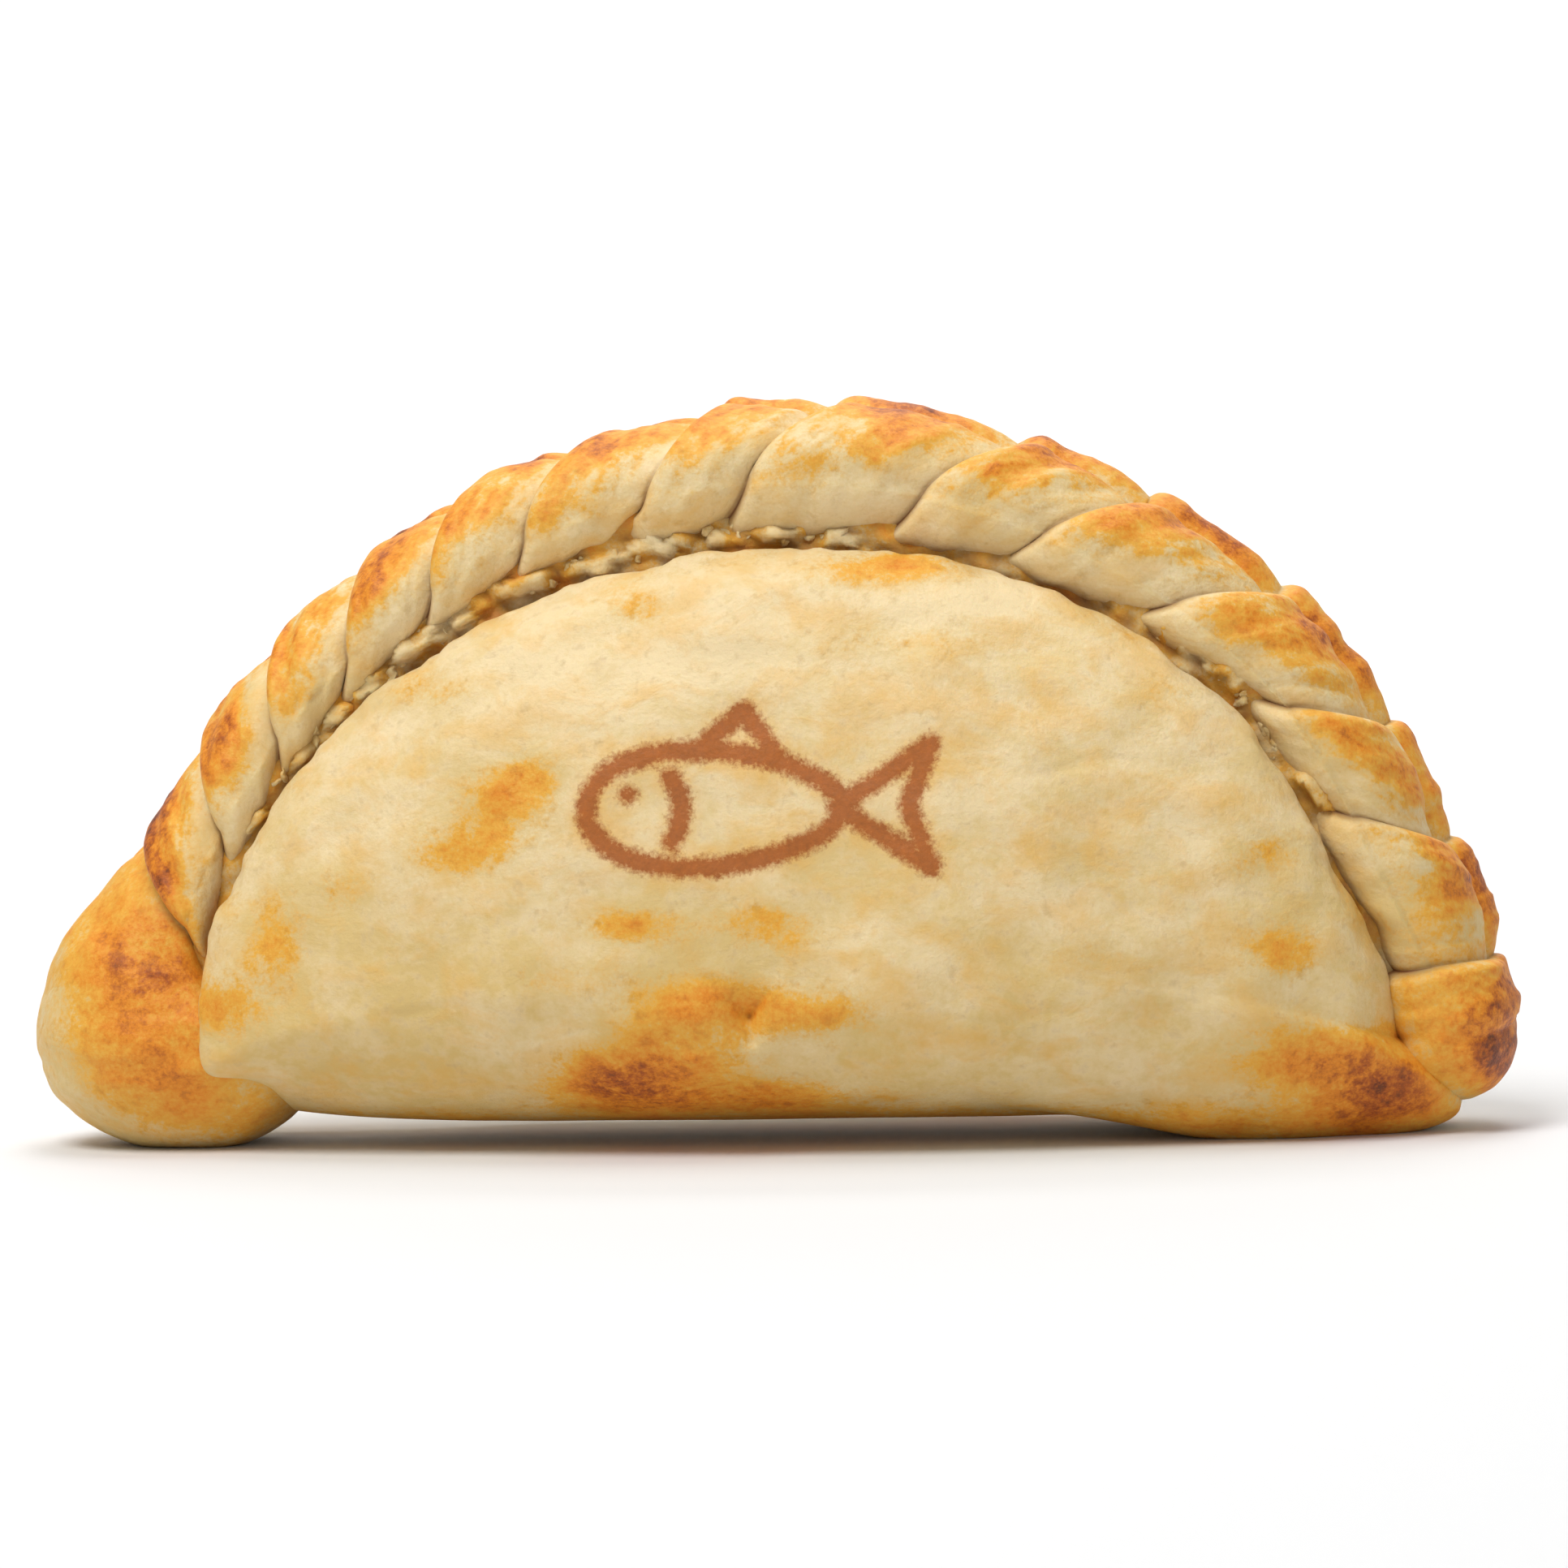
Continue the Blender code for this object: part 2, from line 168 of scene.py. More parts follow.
class PouchSizes(bpy.types.PropertyGroup):
    """Sizes of the filled half-moon."""

    half_width_left: FloatProperty(name="Half width left", description="Seam's reach to the left",
            default=53.3 * MM, unit="LENGTH")
    half_width_right: FloatProperty(name="Half width right", description="Seam's reach to the right",
            default=51.0 * MM, unit="LENGTH")
    seam_height: FloatProperty(name="Seam height", description="Rise of the seam above its base",
            default=43.3 * MM, unit="LENGTH")
    front_dome: FloatProperty(name="Front dome", description="Front bulge from the middle plane",
            default=21.0 * MM, unit="LENGTH")
    back_dome: FloatProperty(name="Back dome", description="Back bulge from the middle plane",
            default=20.0 * MM, unit="LENGTH")
    edge_half_thickness: FloatProperty(name="Edge", description="Half thickness beside the seam",
            default=8.8 * MM, unit="LENGTH")
    lump_height: FloatProperty(name="Lumps", description="Height of the soft lumps of the filling",
            default=0.32 * MM, unit="LENGTH")
    spokes: IntProperty(name="Spokes", description="Points round each ring", default=600)
    front_rings: IntProperty(name="Front rings", description="Rings on the front", default=104)
    back_rings: IntProperty(name="Back rings", description="Rings on the back", default=50)


class RopeSizes(bpy.types.PropertyGroup):
    """Sizes of the folded rim."""

    radius: FloatProperty(name="Radius", description="Half width of the rope", default=6.2 * MM,
            unit="LENGTH")
    half_depth: FloatProperty(name="Half depth", description="Half thickness of the rope", default=9.4 * MM,
            unit="LENGTH")
    lean: FloatProperty(name="Lean", description="How far each fold leans along the rim", default=5.8 * MM,
            unit="LENGTH")
    crease_depth: FloatProperty(name="Crease depth", description="Depth of the creases between folds",
            default=1.3 * MM, unit="LENGTH")
    overlap: FloatProperty(name="Overlap", description="How far a fold stands over the one before",
            default=1.1 * MM, unit="LENGTH")
    sides: IntProperty(name="Sides", description="Points round the rope", default=144)
    rows_per_fold: IntProperty(name="Rows per fold", description="Rows of points on each fold", default=34)


class CrumbSizes(bpy.types.PropertyGroup):
    """Torn flakes of dough along the seam."""

    count: IntProperty(name="Count", description="Flakes along the seam", default=60)
    smallest: FloatProperty(name="Smallest", description="Least flake radius", default=0.30 * MM,
            unit="LENGTH")
    largest: FloatProperty(name="Largest", description="Greatest flake radius", default=0.75 * MM,
            unit="LENGTH")
    seed: IntProperty(name="Seed", description="Seed of the scatter", default=4)


def colour_property(name, text, value):
    return FloatVectorProperty(name=name, description=text, subtype="COLOR_GAMMA", size=3, default=value,
            min=0.0, max=1.0)


class DoughColours(bpy.types.PropertyGroup):
    """Colours from raw dough to scorched crust."""

    pale: colour_property("Pale", "Dough that has hardly coloured", (0.915, 0.825, 0.64))
    cream: colour_property("Cream", "Baked dough", (0.85, 0.73, 0.46))
    golden: colour_property("Golden", "Lightly toasted", (0.90, 0.67, 0.25))
    amber: colour_property("Amber", "Well toasted", (0.88, 0.54, 0.13))
    russet: colour_property("Russet", "Browned crust", (0.70, 0.36, 0.09))
    # Scorched is the nearly burnt crust, and is also the painted shadow in the deepest creases.
    scorched_and_pit_shadow: colour_property("Scorched", "Nearly burnt crust", (0.43, 0.20, 0.08))
    # Crease is painted shade put into creases and recesses; it also tints the dull specks.
    crease_and_shade: colour_property("Crease", "Dough deep in a crease", (0.58, 0.41, 0.22))
    stamp: colour_property("Stamp", "Toasted mark", (0.60, 0.31, 0.09))


class StageSettings(bpy.types.PropertyGroup):
    """Camera, lamps and floor."""

    distance: FloatProperty(name="Distance", description="Camera to object", default=0.75, unit="LENGTH")
    azimuth: FloatProperty(name="Azimuth", description="Camera's turn to the right",
            default=math.radians(6.0), subtype="ANGLE")
    elevation: FloatProperty(name="Elevation", description="Camera's rise", default=math.radians(4.0),
            subtype="ANGLE")
    roll: FloatProperty(name="Roll", description="Camera's roll", default=math.radians(1.35), subtype="ANGLE")
    lens: FloatProperty(name="Lens", description="Focal length in millimetres", default=198.3)
    key_power: FloatProperty(name="Key", description="Power of the main soft lamp", default=8.3)
    top_power: FloatProperty(name="Top", description="Power of the lamp overhead", default=3.7)
    fill_power: FloatProperty(name="Fill", description="Power of the side lamp", default=0.9)
    backdrop_power: FloatProperty(name="Backdrop", description="Power of the lamp on the backdrop",
            default=18.0)
    sky: FloatProperty(name="Sky", description="Strength of the white surroundings", default=0.28)


def add_node(tree, kind, x, y, **settings):
    node = tree.nodes.new(kind)
    node.location = (x, y)
    for name, value in settings.items():
        setattr(node, name, value)
    return node


def arithmetic(tree, operation, first, second, x, y, clamp=False):
    node = add_node(tree, "ShaderNodeMath", x, y, operation=operation, use_clamp=clamp)
    for socket, value in zip(node.inputs, (first, second)):
        if isinstance(value, (int, float)):
            socket.default_value = value
        else:
            tree.links.new(value, socket)
    return node.outputs[0]


def noise(tree, place, scale, x, y, detail=3.0, roughness=0.5, distortion=0.0):
    node = add_node(tree, "ShaderNodeTexNoise", x, y)
    tree.links.new(place, node.inputs["Vector"])
    node.inputs["Scale"].default_value = scale
    node.inputs["Detail"].default_value = detail
    node.inputs["Roughness"].default_value = roughness
    node.inputs["Distortion"].default_value = distortion
    return node.outputs["Fac"]


def blend_colours(tree, share, first, second, x, y):
    node = add_node(tree, "ShaderNodeMix", x, y, data_type="RGBA")
    if isinstance(share, float):
        node.inputs["Factor"].default_value = share
    else:
        tree.links.new(share, node.inputs["Factor"])
    for socket, value in ((node.inputs[6], first), (node.inputs[7], second)):
        if isinstance(value, tuple):
            socket.default_value = value
        else:
            tree.links.new(value, socket)
    return node.outputs[2]


def attribute(tree, name, x, y):
    return add_node(tree, "ShaderNodeAttribute", x, y, attribute_name=name).outputs["Fac"]


def span(tree, value, low, high, x, y):
    node = add_node(tree, "ShaderNodeMapRange", x, y, clamp=True)
    tree.links.new(value, node.inputs["Value"])
    node.inputs["From Min"].default_value = low
    node.inputs["From Max"].default_value = high
    return node.outputs["Result"]


def baked_dough(name, colours, stamped):
    """Dough whose colour follows its toast and crease attributes, broken up by mottling at three sizes. The
    crease attribute paints shade into creases and recesses, and the dough is painted paler towards the top as
    painted light from above.
    """
    material = bpy.data.materials.new(name)
    material.use_nodes = True
    tree = material.node_tree
    shader = tree.nodes["Principled BSDF"]
    place = add_node(tree, "ShaderNodeTexCoord", -1900, 0).outputs["Object"]
    drift = add_node(tree, "ShaderNodeVectorMath", -1800, 300, operation="MULTIPLY")
    drift.inputs[1].default_value = (0.85, 1.0, 1.25)
    tree.links.new(place, drift.inputs[0])
    cloud = noise(tree, drift.outputs[0], 110.0, -1700, 500, 4.0, 0.6, 0.3)
    blotch = noise(tree, drift.outputs[0], 200.0, -1700, 300, 5.0, 0.62, 0.35)
    mottle = noise(tree, place, 760.0, -1700, 100, 4.0, 0.62)
    grain = noise(tree, place, 2600.0, -1700, -100, 3.0, 0.7)
    toast = attribute(tree, "toast", -1700, -300)
    crease_and_shade = attribute(tree, "crease_and_shade", -1700, -500)

    # Browning breaks into patches where it is strong and stays faint elsewhere.
    patchy = arithmetic(tree, "ADD", arithmetic(tree, "MULTIPLY", toast, 1.1, -1500, -300), 0.22, -1400, -300)
    sway = arithmetic(tree, "SUBTRACT", blotch, 0.5, -1500, 300)
    sway = arithmetic(tree, "ADD", sway,
            arithmetic(tree, "MULTIPLY", arithmetic(tree, "SUBTRACT", mottle, 0.5, -1500, 100), 0.70, -1400,
            100), -1300, 200)
    sway = arithmetic(tree, "ADD", sway,
            arithmetic(tree, "MULTIPLY", arithmetic(tree, "SUBTRACT", grain, 0.5, -1500, -100), 0.60, -1400,
            -100), -1200, 100)
    sway = arithmetic(tree, "MULTIPLY", sway, arithmetic(tree, "MULTIPLY", patchy, 1.0, -1300, -200), -1100,
            0)
    browned = arithmetic(tree, "ADD", toast, sway, -1000, -100, True)

    ramp = add_node(tree, "ShaderNodeValToRGB", -800, -100)
    tree.links.new(browned, ramp.inputs["Fac"])
    stops = ((0.0, colours.cream), (0.18, colours.cream), (0.36, colours.golden), (0.58, colours.amber),
            (0.80, colours.russet), (1.0, colours.scorched_and_pit_shadow))
    ramp.color_ramp.elements[0].position = 0.0
    ramp.color_ramp.elements[1].position = 1.0
    while len(ramp.color_ramp.elements) < len(stops):
        ramp.color_ramp.elements.new(0.5)
    for element, (position, colour) in zip(ramp.color_ramp.elements, stops):
        element.position = position
        element.color = srgb(colour)
    dough = ramp.outputs["Color"]

    # Untoasted dough drifts between pale and cream, and is painted paler towards the top as painted light
    # from above.
    light = span(tree, arithmetic(tree, "ADD", cloud, arithmetic(tree, "MULTIPLY", mottle, 0.6, -1300, 500),
            -1200, 500), 0.66, 0.98, -1050, 500)
    bare = arithmetic(tree, "SUBTRACT", 1.0, span(tree, browned, 0.10, 0.34, -800, 250), -650, 250)
    height = add_node(tree, "ShaderNodeSeparateXYZ", -1700, 700)
    tree.links.new(place, height.inputs[0])
    # Painted light: the dough gets paler with height, standing in for the light falling from above.
    painted_top_light = span(tree, height.outputs["Z"], 0.008, 0.046, -1050, 700)
    light = arithmetic(tree, "ADD", arithmetic(tree, "MULTIPLY", light, 0.95, -900, 600),
            arithmetic(tree, "MULTIPLY", painted_top_light, 0.55, -900, 700), -800, 650, True)
    pale_share = arithmetic(tree, "MULTIPLY", light, bare, -500, 400)
    dough = blend_colours(tree, pale_share, dough, srgb(colours.pale), -400, 100)

    # Faint golden clouds and small dull specks over the whole skin.
    tinge = arithmetic(tree, "MULTIPLY", span(tree, blotch, 0.47, 0.66, -700, 900),
            arithmetic(tree, "MULTIPLY", bare, 0.46, -700, 1000), -550, 900)
    dough = blend_colours(tree, tinge, dough, srgb(colours.golden), -350, 250)
    speck = arithmetic(tree, "MULTIPLY", span(tree, mottle, 0.56, 0.78, -700, 1150), 0.26, -550, 1150)
    dough = blend_colours(tree, speck, dough, srgb(colours.crease_and_shade), -300, 350)

    # Painted shade: creases and recesses are darkened towards the crease colour, and the deepest of them
    # towards scorched brown as painted shadow.
    depth = arithmetic(tree, "MULTIPLY", crease_and_shade, arithmetic(tree, "ADD", 0.55, blotch, -900, -500), -700,
            -500, True)
    dough = blend_colours(tree, depth, dough, srgb(colours.crease_and_shade), -250, 0)
    painted_pit_shadow = span(tree, crease_and_shade, 0.78, 1.0, -400, -600)
    dough = blend_colours(tree, arithmetic(tree, "MULTIPLY", painted_pit_shadow, 0.75, -300, -650), dough,
            srgb(colours.scorched_and_pit_shadow), -200, 50)

    if stamped:
        reach = attribute(tree, "stamp", -1100, -800)
        fray = arithmetic(tree, "MULTIPLY", arithmetic(tree, "SUBTRACT", grain, 0.5, -1100, -950), 1.5,
                -1000, -950)
        wander = arithmetic(tree, "MULTIPLY", arithmetic(tree, "SUBTRACT", mottle, 0.5, -1100, -1100), 1.0,
                -1000, -1100)
        edge = arithmetic(tree, "ADD", arithmetic(tree, "ADD", reach, fray, -900, -850), wander, -800, -850)
        printed = span(tree, edge, 0.28, -0.40, -650, -850)
        halo = arithmetic(tree, "MULTIPLY", span(tree, reach, 1.2, -0.2, -650, -1050), 0.30, -500, -1050)
        dough = blend_colours(tree, halo, dough, srgb(colours.golden), -100, -200)
        shade = span(tree, arithmetic(tree, "ADD", grain,
                arithmetic(tree, "MULTIPLY", mottle, 0.6, -650, -1200), -500, -1200), 0.55, 1.05, -350, -1200)
        ink = blend_colours(tree, shade, srgb(colours.stamp), srgb(colours.russet), -200, -900)
        dough = blend_colours(tree, arithmetic(tree, "MULTIPLY", printed, 0.92, -350, -850), dough, ink, 0,
                -300)
    tree.links.new(dough, shader.inputs["Base Color"])

    rough = arithmetic(tree, "SUBTRACT",
            arithmetic(tree, "ADD", 0.50, arithmetic(tree, "MULTIPLY", mottle, 0.22, -300, -500), -200,
            -500), arithmetic(tree, "MULTIPLY", browned, 0.10, -300, -600), -100, -500)
    tree.links.new(rough, shader.inputs["Roughness"])
    shader.inputs["Specular IOR Level"].default_value = 0.35
    shader.inputs["Subsurface Weight"].default_value = 0.12
    shader.inputs["Subsurface Scale"].default_value = 0.002
    shader.inputs["Subsurface Radius"].default_value = (1.0, 0.55, 0.25)

    skin = noise(tree, place, 1500.0, -700, -1500, 5.0, 0.62)
    soft = add_node(tree, "ShaderNodeBump", -300, -1400)
    soft.inputs["Strength"].default_value = 0.5
    soft.inputs["Distance"].default_value = 0.00055
    tree.links.new(blotch, soft.inputs["Height"])
    fine = add_node(tree, "ShaderNodeBump", -100, -1500)
    fine.inputs["Strength"].default_value = 0.6
    fine.inputs["Distance"].default_value = 0.00022
    tree.links.new(skin, fine.inputs["Height"])
    tree.links.new(soft.outputs["Normal"], fine.inputs["Normal"])
    tree.links.new(fine.outputs["Normal"], shader.inputs["Normal"])
    return material


def stroke_distance(x, z, line):
    """Distance in millimetres from each point to a line drawn through the given corners."""
    best = np.full(x.shape, 1e3)
    for (ax, az), (bx, bz) in zip(line[:-1], line[1:]):
        run_x, run_z = bx - ax, bz - az
        along = np.clip(((x - ax) * run_x + (z - az) * run_z) / (run_x ** 2 + run_z ** 2), 0.0, 1.0)
        best = np.minimum(best, np.hypot(x - ax - along * run_x, z - az - along * run_z))
    return best


def stamp_distance(x, z):
    """Plain toasted fish: body outline, tail, gill, eye and fin. Negative inside a stroke, in millimetres."""
    x = x / MM - 0.6
    z = z / MM - 30.2
    half = 0.95
    turn = np.linspace(0.0, 2.0 * math.pi, 49)
    body = [(-3.0 + 11.0 * math.cos(a), 4.9 * math.sin(a) * (1.0 - 0.18 * math.cos(a))) for a in turn]
    tail = [(7.6, 0.0), (15.6, 5.2), (13.6, 0.0), (15.6, -5.2), (7.6, 0.0)]
    gill = [(-7.4 + 1.6 * math.cos(a), 3.0 * math.sin(a)) for a in np.linspace(-1.1, 1.1, 9)]
    fin = [(-4.6, 4.8), (-0.4, 8.2), (2.4, 4.4)]
    lines = [stroke_distance(x, z, line) for line in (body, tail, gill, fin)]
    eye = np.hypot(x + 10.4, z - 1.3) + half - 0.9
    return np.minimum.reduce(lines + [eye]) - half


def torn_shreds(angle, out, points):
    """Height of the shreds of dough torn up along the front seam, and how far each point is within one."""
    within = np.zeros_like(out)
    wander = 0.30 * ripple(points, 1.5 * MM, 41) + 0.16 * ripple(points, 0.7 * MM, 42)
    for at, reach, half_length, half_width in TORN_SHREDS:
        along = (angle - at) * 52.0 / half_length
        across = (out / MM - reach) / half_width
        within = np.maximum(within, ease(1.15 - np.hypot(along, across) + wander, 0.0, 0.45))
    return within * (1.15 * MM + 0.32 * MM * ripple(points, 1.0 * MM, 43)), within


def pouch_outline(sizes, angle):
    """The pouch's edge at each angle, from 0 at the right end to a half turn at the left."""
    across = np.cos(angle)
    up = np.sin(angle)
    half = np.where(across > 0, sizes.half_width_right, sizes.half_width_left)
    power = 0.5
    squared = np.where(up < 0, np.sign(across) * np.abs(across) ** power, across)
    x = 2.3 * MM + half * squared
    drop = np.abs(up) ** power
    foot = 2.3 * MM - 4.6 * MM * ease(x, 24.0 * MM, 46.0 * MM)
    flare = 12.0 * MM * drop * ease(x, 40.0 * MM, 54.0 * MM)
    base = 9.0 * MM
    z = np.where(up >= 0, base + sizes.seam_height * up, base - (base - foot) * drop)
    drawn = 2.2 * MM * np.exp(-(((z - 27.0 * MM) / (11.0 * MM)) ** 2)) * ease(across, 0.2, 0.6)
    return np.where(up < 0, x + flare, x - drawn), z


def make_pouch(sizes, material):
    crown_x, crown_z = 2.0 * MM, 15.5 * MM
    angle = 2.0 * math.pi * np.arange(sizes.spokes) / sizes.spokes
    up = np.sin(angle)
    edge_x, edge_z = pouch_outline(sizes, angle)
    rise = np.where(up > 0, 9.0 * MM + sizes.seam_height - crown_z, crown_z - 2.3 * MM)
    round_x = sizes.half_width_right * np.cos(angle)
    round_z = rise * up
    to_x, to_z = edge_x - crown_x, edge_z - crown_z
    length = np.hypot(to_x, to_z)
    seam = ease(up, -0.05, 0.3)
    thick = 2.5 * MM + (sizes.edge_half_thickness - 2.5 * MM) * ease(up, -0.5, 0.45)
    corner = 4.5 * MM * np.exp(-(((angle - math.pi - 0.05) / 0.30) ** 2))

    front = [("front", math.sin(0.5 * math.pi * (i + 1)
            / sizes.front_rings)) for i in range(sizes.front_rings)]
    back = [("back", math.sin(0.5 * math.pi * (i + 1) / sizes.back_rings)) for i in range(sizes.back_rings)]
    wall = [("wall", i / 8) for i in range(1, 9)]
    valley = [("valley", (i / 16) ** 1.2) for i in range(1, 17)]
    rings = [(-1.0,) + r for r in front + wall + valley] + [(1.0,) + r for r in valley[::-1] + wall[::-1]
            + back[::-1]]
    points, kinds, shares = [], [], []
    for side, kind, share in rings:
        dome = sizes.front_dome if side < 0 else sizes.back_dome
        reach = share if kind in ("front", "back") else 1.0
        square = reach ** 3
        x = crown_x + reach * (round_x + (to_x - round_x) * square)
        z = crown_z + reach * (round_z + (to_z - round_z) * square)
        edge = thick + corner * reach ** 4
        depth = edge + (dome - edge) * max(0.0, 1.0 - reach ** 2.5) ** 0.6
        inward = np.zeros_like(x)
        stepped = 0.7 * edge + (0.3 * edge - 1.2 * MM) * seam
        if kind == "wall":
            depth = edge + (stepped - edge) * share
            inward = 0.7 * MM * seam * share
        elif kind == "valley":
            low = 0.3 * edge + (6.8 * MM - 0.3 * edge) * seam
            depth = stepped + (low - stepped) * share
            inward = (0.7 * MM - 5.7 * MM * share) * seam
        points.append(np.stack([x - inward * to_x / length, side * depth, z - inward * to_z / length],
                axis=-1))
        kinds.append(np.full(x.shape, {"front": 0, "back": 1, "wall": 2, "valley": 3}[kind]))
        shares.append(np.full(x.shape, share))
    crown_front = np.array([[crown_x, -sizes.front_dome, crown_z]])
    crown_back = np.array([[crown_x, sizes.back_dome, crown_z]])
    points = np.concatenate([crown_front] + points + [crown_back]) + SETTLE
    kinds = np.concatenate([[0]] + kinds + [[1]])
    shares = np.concatenate([[0.0]] + shares + [[0.0]])
    round_seam = np.concatenate([[0.0]] + [seam] * len(rings) + [[0.0]])
    ways = np.concatenate([[0.0]] + [angle] * len(rings) + [[0.0]])

    x, y, z = points.T.copy()
    side = np.where(y < 0, -1.0, 1.0)
    on_face = (kinds < 2).astype(float)
    in_valley = (kinds == 3) * round_seam
    on_wall = (kinds == 2) * round_seam
    near_edge = on_face * ease(shares, 0.93, 1.0)

    # Soft lumps of the filling under the skin, then the skin's own fine unevenness.
    swell = sizes.lump_height * ripple(points, 13.0 * MM, 11) + 0.24 * MM * ripple(points, 5.2 * MM,
            12) + 0.10 * MM * ripple(points * np.array((0.6, 1.0, 1.0)), 2.2 * MM, 13)
    front_face = on_face * (side < 0)
    swell += front_face * 0.75 * MM * bump_at(x, z, -4.6, 12.6, 3.2, 2.2)
    swell += front_face * 0.70 * MM * bump_at(x, z, 5.2, 12.4, 3.4, 2.2)
    swell -= front_face * 1.05 * MM * bump_at(x, z, 0.2, 13.0, 1.5, 3.0)
    swell += front_face * 0.45 * MM * bump_at(x, z, 0.2, 8.6, 2.6, 1.6)
    for line in (((-3.2, 16.0), (-1.4, 13.8), (0.1, 12.4)), ((0.1, 12.4), (1.6, 14.2), (2.6, 16.6)),
            ((0.1, 12.4), (0.4, 10.2)), ((-2.2, 8.6), (-7.6, 7.6))):
        swell -= front_face * 0.32 * MM * np.exp(-((stroke_distance(x / MM, z / MM, line) / 0.45) ** 2))
    blister = bump_at(x, z, -4.8, 8.3, 2.7, 1.15)
    swell += front_face * blister * (0.50 * MM + 0.14 * MM * ripple(points, 0.9 * MM, 14))
    for at_x, at_z, half_x, half_z, depth in ((28.0, 33.2, 9.0, 0.45, 0.16), (33.5, 21.0, 2.4, 1.2, 0.16),
            (37.0, 12.5, 5.0, 0.6, 0.12), (-28.0, 13.0, 7.0, 0.6, 0.10), (-8.0, 24.0, 5.0, 0.5,
            0.08), (24.0, 12.0, 6.0, 0.5, 0.10)):
        wave = at_z + 0.5 * np.sin((x / MM - at_x) * 0.55)
        swell -= front_face * depth * MM * np.exp(-(((x / MM - at_x) / half_x) ** 2)
                - (((z / MM - wave) / half_z) ** 2))
    out = (np.where(kinds == 3, -0.7 + 5.7 * shares, 0.0)) * MM
    shred, within = torn_shreds(ways, out, points)
    strip = np.stack([ways * 17.0 * MM, shares * 5.7 * MM, side * 9.0 * MM], axis=-1)
    torn = 0.34 * MM * ripple(strip, 1.5 * MM, 15) + 0.20 * MM * ripple(points, 1.3 * MM,
            16) + 0.10 * MM * ripple(points, 0.65 * MM, 22)
    torn += np.where(side < 0, shred, 0.0)
    within = np.where(side < 0, within, 0.0)
    y += side * (swell * (on_face * (1.0 - 0.5 * near_edge)) + torn * in_valley)

    # The cut edge of the front wanders a little along the seam.
    ragged = 0.22 * MM * ripple(points, 3.2 * MM, 17) + 0.10 * MM * ripple(points, 1.1 * MM, 18)
    ragged = ragged * (near_edge * round_seam + on_wall)
    x += ragged * np.cos(ways)
    z += ragged * np.sin(ways)
    z = np.maximum(z, 0.0)
    moved = np.stack([x, y, z], axis=-1)

    toast = np.full(x.shape, 0.09)
    toast += front_face * sum(s * bump_at(x, z, *patch) for *patch, s in TOASTED_PATCHES)
    toast += front_face * 0.16 * blister
    behind = on_face * (side > 0)
    toast += behind * 0.32 * np.clip(ripple(points, 11.0 * MM, 19) - 0.35, 0.0, 1.0)
    # More toast towards the bottom of both faces: browning together with painted shade under the bottom roll.
    toast += on_face * 0.30 * ease(-z, -5.5 * MM, -1.5 * MM)
    # Extra toast on the wall and in the valley between the shreds is browning and painted shade in the seam
    # together.
    toast += 0.30 * on_wall + in_valley * np.clip(0.26 - 0.12 * within + 0.10
            * ripple(points, 2.0 * MM, 24), 0.0, 0.40) + 0.10 * near_edge * round_seam * np.clip(
                0.4 + ripple(points, 6.0 * MM, 20), 0.0, 1.0)
    # Painted shade: the wall down into the seam and the valley beside it are marked dark, less on the torn
    # shreds that stand out of it.
    crease_and_shade = 0.92 * on_wall + in_valley * np.clip(0.30 - 0.30 * within - 0.30 * ripple(points, 1.3 * MM, 25)
            * (1.0 - 0.6 * within), 0.0, 0.85)
    stamp = np.where(front_face > 0, stamp_distance(x, z), 9.0)
    attributes = {"toast": np.clip(toast, 0.0, 1.0), "crease_and_shade": np.clip(crease_and_shade, 0.0, 1.0),
            "stamp": np.clip(stamp, -3.0, 9.0)}
    return new_piece("pouch", moved, capped_grid(len(rings), sizes.spokes), attributes, material)


def rope_path():
    """Points along the rope's centre from the left end over the top, and the length to each."""
    turn = np.linspace(math.pi, 0.0, 721)
    across = np.cos(turn)
    power = np.where(across < 0, 2.0 / 1.95, 2.0 / 1.8)
    half = np.where(across < 0, 56.0, 56.2) * MM
    x = 2.3 * MM + half * np.sign(across) * np.abs(across) ** power
    z = 8.5 * MM + 49.9 * MM * np.abs(np.sin(turn)) ** power
    x = x - 2.6 * MM * np.exp(-(((z - 24.0 * MM) / (13.0 * MM)) ** 2)) * ease(across, 0.2, 0.6)
    x = np.concatenate(([-54.1 * MM], x, [60.2 * MM]))
    z = np.concatenate(([-0.3 * MM], z, [3.4 * MM]))
    lengths = np.concatenate(([0.0], np.cumsum(np.hypot(np.diff(x), np.diff(z)))))
    return x, z, lengths


def seam_gap(share):
    """How far outside the seam the folds end: widest over the top and where the right flap is torn."""
    top = 1.9 * MM * np.exp(-(((share - 0.40) / 0.15) ** 2))
    flap = 1.2 * MM * np.exp(-(((share - 0.775) / 0.03) ** 2))
    return 0.2 * MM + top + flap


